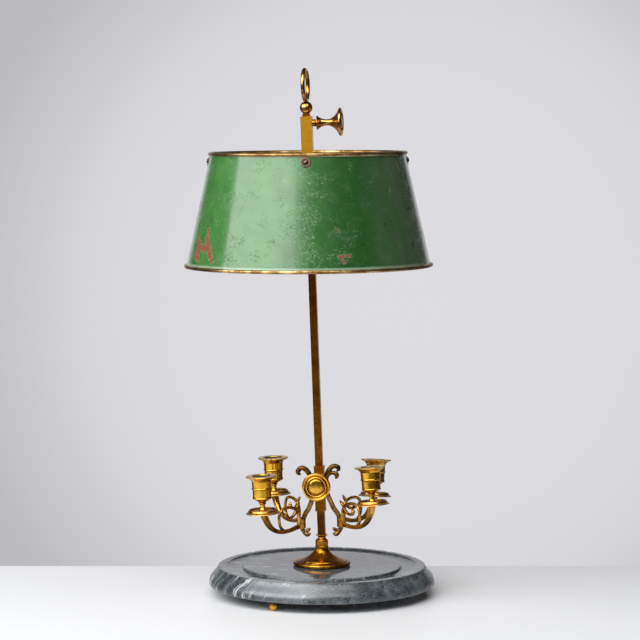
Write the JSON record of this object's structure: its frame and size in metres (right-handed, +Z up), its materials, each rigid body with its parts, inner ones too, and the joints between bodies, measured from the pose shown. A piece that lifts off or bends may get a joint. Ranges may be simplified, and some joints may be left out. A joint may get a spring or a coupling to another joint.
{
  "type": "bouillotte lamp",
  "caption": "Candle lamp with a round marble base, a square brass stem with a ring handle, a sliding branch of scroll arms with candle nozzles, and a sliding green metal shade.",
  "frame": {"origin": "on the table top, under the centre of the marble base, where the stem's tail passes through it", "axes": "+Z up, -Y towards the front, where the branch's thumbscrew points, +X towards the shade's thumbscrew"},
  "size_m": [0.3149, 0.3116, 0.6611],
  "materials": {
    "grey_marble": "polished, grey with pale veins",
    "polished_brass": "lacquered, with darkened hollows",
    "aged_brass": "patinated",
    "gilt_rim": "worn gilt over tinned steel",
    "green_lacquer": "semi-gloss, chipped",
    "plain_steel": "plain"
  },
  "bodies": {
    "stand": {"marble_base": "grey_marble", "ball_feet": "polished_brass", "stem_foot": "polished_brass", "stem": "aged_brass", "tie_washer": "plain_steel", "tie_nut": "plain_steel", "ring_handle": "polished_brass"},
    "candle_branch": {"branch_collar": "aged_brass", "bracket_left": "aged_brass", "bracket_right": "aged_brass", "boss_pins": "polished_brass", "arm_front_left": "polished_brass", "arm_back_left": "polished_brass", "arm_front_right": "polished_brass", "arm_back_right": "polished_brass", "pan_front_left": "polished_brass", "pan_back_left": "polished_brass", "pan_front_right": "polished_brass", "pan_back_right": "polished_brass", "nozzle_front_left": "polished_brass", "nozzle_back_left": "polished_brass", "nozzle_front_right": "polished_brass", "nozzle_back_right": "polished_brass"},
    "branch_clamp": {"branch_thumbscrew": "polished_brass"},
    "shade_carrier": {"shade_sleeve": "aged_brass", "shade_spider": "polished_brass", "shade_shell": "green_lacquer", "shade_top_rim": "gilt_rim", "shade_bottom_rim": "gilt_rim", "shade_screws": "polished_brass", "shade_washers": "aged_brass", "shade_nuts": "aged_brass"},
    "shade_clamp": {"shade_thumbscrew": "polished_brass"}
  },
  "joints": [
    {"name": "branch_slide", "type": "slide", "parent": "stand", "child": "candle_branch", "axis": [-0.0366, 0, 0.9993], "range_m": [-0.02, 0.1]},
    {"name": "branch_clamp_turn", "type": "hinge", "parent": "candle_branch", "child": "branch_clamp", "pos_m": [-0.00243, -0.0062, 0.14097], "axis": [0, -1, 0], "range_deg": [0, 720]},
    {"name": "shade_slide", "type": "slide", "parent": "stand", "child": "shade_carrier", "axis": [-0.0366, 0, 0.9993], "range_m": [-0.25, 0]},
    {"name": "shade_clamp_turn", "type": "hinge", "parent": "shade_carrier", "child": "shade_clamp", "pos_m": [-0.01199, 0, 0.59252], "axis": [0.9993, 0, 0.0366], "range_deg": [0, 720]}
  ]
}
